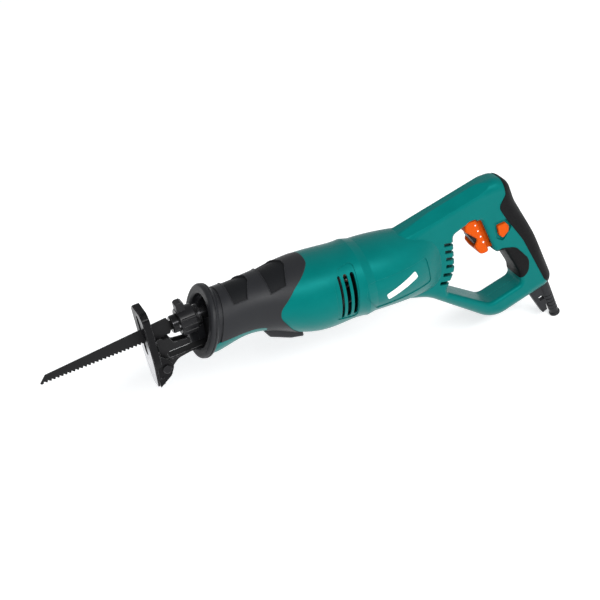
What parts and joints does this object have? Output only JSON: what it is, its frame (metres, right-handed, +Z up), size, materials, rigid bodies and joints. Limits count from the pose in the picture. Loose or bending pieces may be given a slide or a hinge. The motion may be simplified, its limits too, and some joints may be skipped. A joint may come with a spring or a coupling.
{
  "type": "reciprocating saw",
  "caption": "Corded reciprocating saw with D-handle, rubber-booted nose, finger guard, tilting shoe and clamped blade on a driven plunger.",
  "frame": {"origin": "mouth of the blade clamp on the plunger's axis, with the plunger in mid-stroke", "axes": "+X forward along the plunger and blade, +Y to the tool's left side, +Z up"},
  "size_m": [0.5933, 0.0886, 0.2153],
  "materials": {
    "teal_plastic": "moulded glass-filled nylon in teal, fine satin grain",
    "black_rubber": "soft charcoal overmould, fine grain",
    "orange_plastic": "satin moulded nylon",
    "black_plastic": "satin moulded nylon",
    "cast_alloy": "die-cast, painted black",
    "steel": "ground and oiled steel",
    "black_steel": "black phosphated steel",
    "blade_steel": "black coated blade steel",
    "core_steel": "stacked electrical steel",
    "copper": "enamelled copper wire and bars",
    "bronze": "sintered bronze",
    "carbon": "pressed carbon",
    "felt": "grease-soaked felt"
  },
  "bodies": {
    "saw": {"left_housing_shell": "teal_plastic", "right_housing_shell": "teal_plastic", "rear_grip_pad": "black_rubber", "finger_grip_pad": "black_rubber", "front_boot": "black_rubber", "guard_ring": "black_rubber", "gear_housing": "cast_alloy", "gear_housing_cover": "cast_alloy", "gear_housing_screws": "steel", "housing_screws": "steel", "shoe_lock_screw": "black_steel", "stator_core": "core_steel", "stator_windings": "copper", "air_baffle": "black_plastic", "front_motor_bearing": "steel", "rear_motor_bearing": "steel", "brush_holders": "bronze", "carbon_brushes": "carbon", "brush_springs": "steel", "crank_bearings": "steel", "front_bushing": "bronze", "rear_bushing": "bronze", "plunger_seal": "felt", "switch_body": "black_plastic", "trigger_spring": "steel", "lock_button_spring": "steel", "cord_sleeve": "black_rubber", "cord_clamp": "black_plastic"},
    "armature": {"armature_shaft": "steel", "armature_core": "core_steel", "armature_windings": "copper", "commutator": "copper", "cooling_fan": "black_plastic", "motor_pinion": "steel"},
    "crank": {"crank_gear": "steel", "crank_axle": "steel", "crank_pin": "steel"},
    "plunger": {"plunger_rod": "steel", "plunger_yoke": "steel", "blade_clamp_body": "black_steel", "blade_lock_pin": "steel", "clamp_spring": "steel", "saw_blade": "blade_steel"},
    "collar": {"clamp_collar": "black_plastic"},
    "bracket": {"shoe_bracket": "black_steel", "shoe_pivot_pin": "black_steel"},
    "shoe": {"shoe_plate": "black_steel"},
    "trigger_body": {"trigger": "orange_plastic"},
    "dial": {"speed_dial": "black_plastic"},
    "lock": {"lock_button": "orange_plastic"}
  },
  "joints": [
    {"name": "armature_spin", "type": "hinge", "parent": "saw", "child": "armature", "pos_m": [-0.19, 0, -0.0285], "axis": [0.9945, 0, 0.1045], "continuous": true},
    {"name": "crank_spin", "type": "hinge", "parent": "saw", "child": "crank", "pos_m": [-0.13281, 0, -0.02249], "axis": [-0.1045, 0, 0.9945], "continuous": true},
    {"name": "plunger_stroke", "type": "slide", "parent": "saw", "child": "plunger", "axis": [1, 0, 0], "range_m": [-0.012, 0.012]},
    {"name": "collar_twist", "type": "hinge", "parent": "plunger", "child": "collar", "pos_m": [-0.017, 0, 0], "axis": [1, 0, 0], "range_deg": [0, 60], "stiffness_Nm_per_rad": 0.3, "springref_deg": -17.19},
    {"name": "shoe_depth", "type": "slide", "parent": "saw", "child": "bracket", "axis": [1, 0, 0], "range_m": [0, 0.02]},
    {"name": "shoe_tilt", "type": "hinge", "parent": "bracket", "child": "shoe", "pos_m": [0.0178, 0, -0.0408], "axis": [0, 1, 0], "range_deg": [-8, 22]},
    {"name": "trigger_pull", "type": "slide", "parent": "saw", "child": "trigger_body", "axis": [-0.92, 0, 0.392], "range_m": [0, 0.006], "stiffness_N_per_m": 900, "springref_m": -0.004, "deforming": ["trigger_spring"]},
    {"name": "speed_dial_turn", "type": "hinge", "parent": "trigger_body", "child": "dial", "pos_m": [-0.3506, 0, -0.0374], "axis": [0.92, 0, -0.392], "range_deg": [0, 270]},
    {"name": "lock_button_press", "type": "slide", "parent": "saw", "child": "lock", "axis": [0, -1, 0], "range_m": [0, 0.0028], "stiffness_N_per_m": 600, "springref_m": -0.002, "deforming": ["lock_button_spring"]}
  ],
  "couplings": [
    {"joint": "crank_spin", "follows": "armature_spin", "ratio": 0.16667}
  ]
}
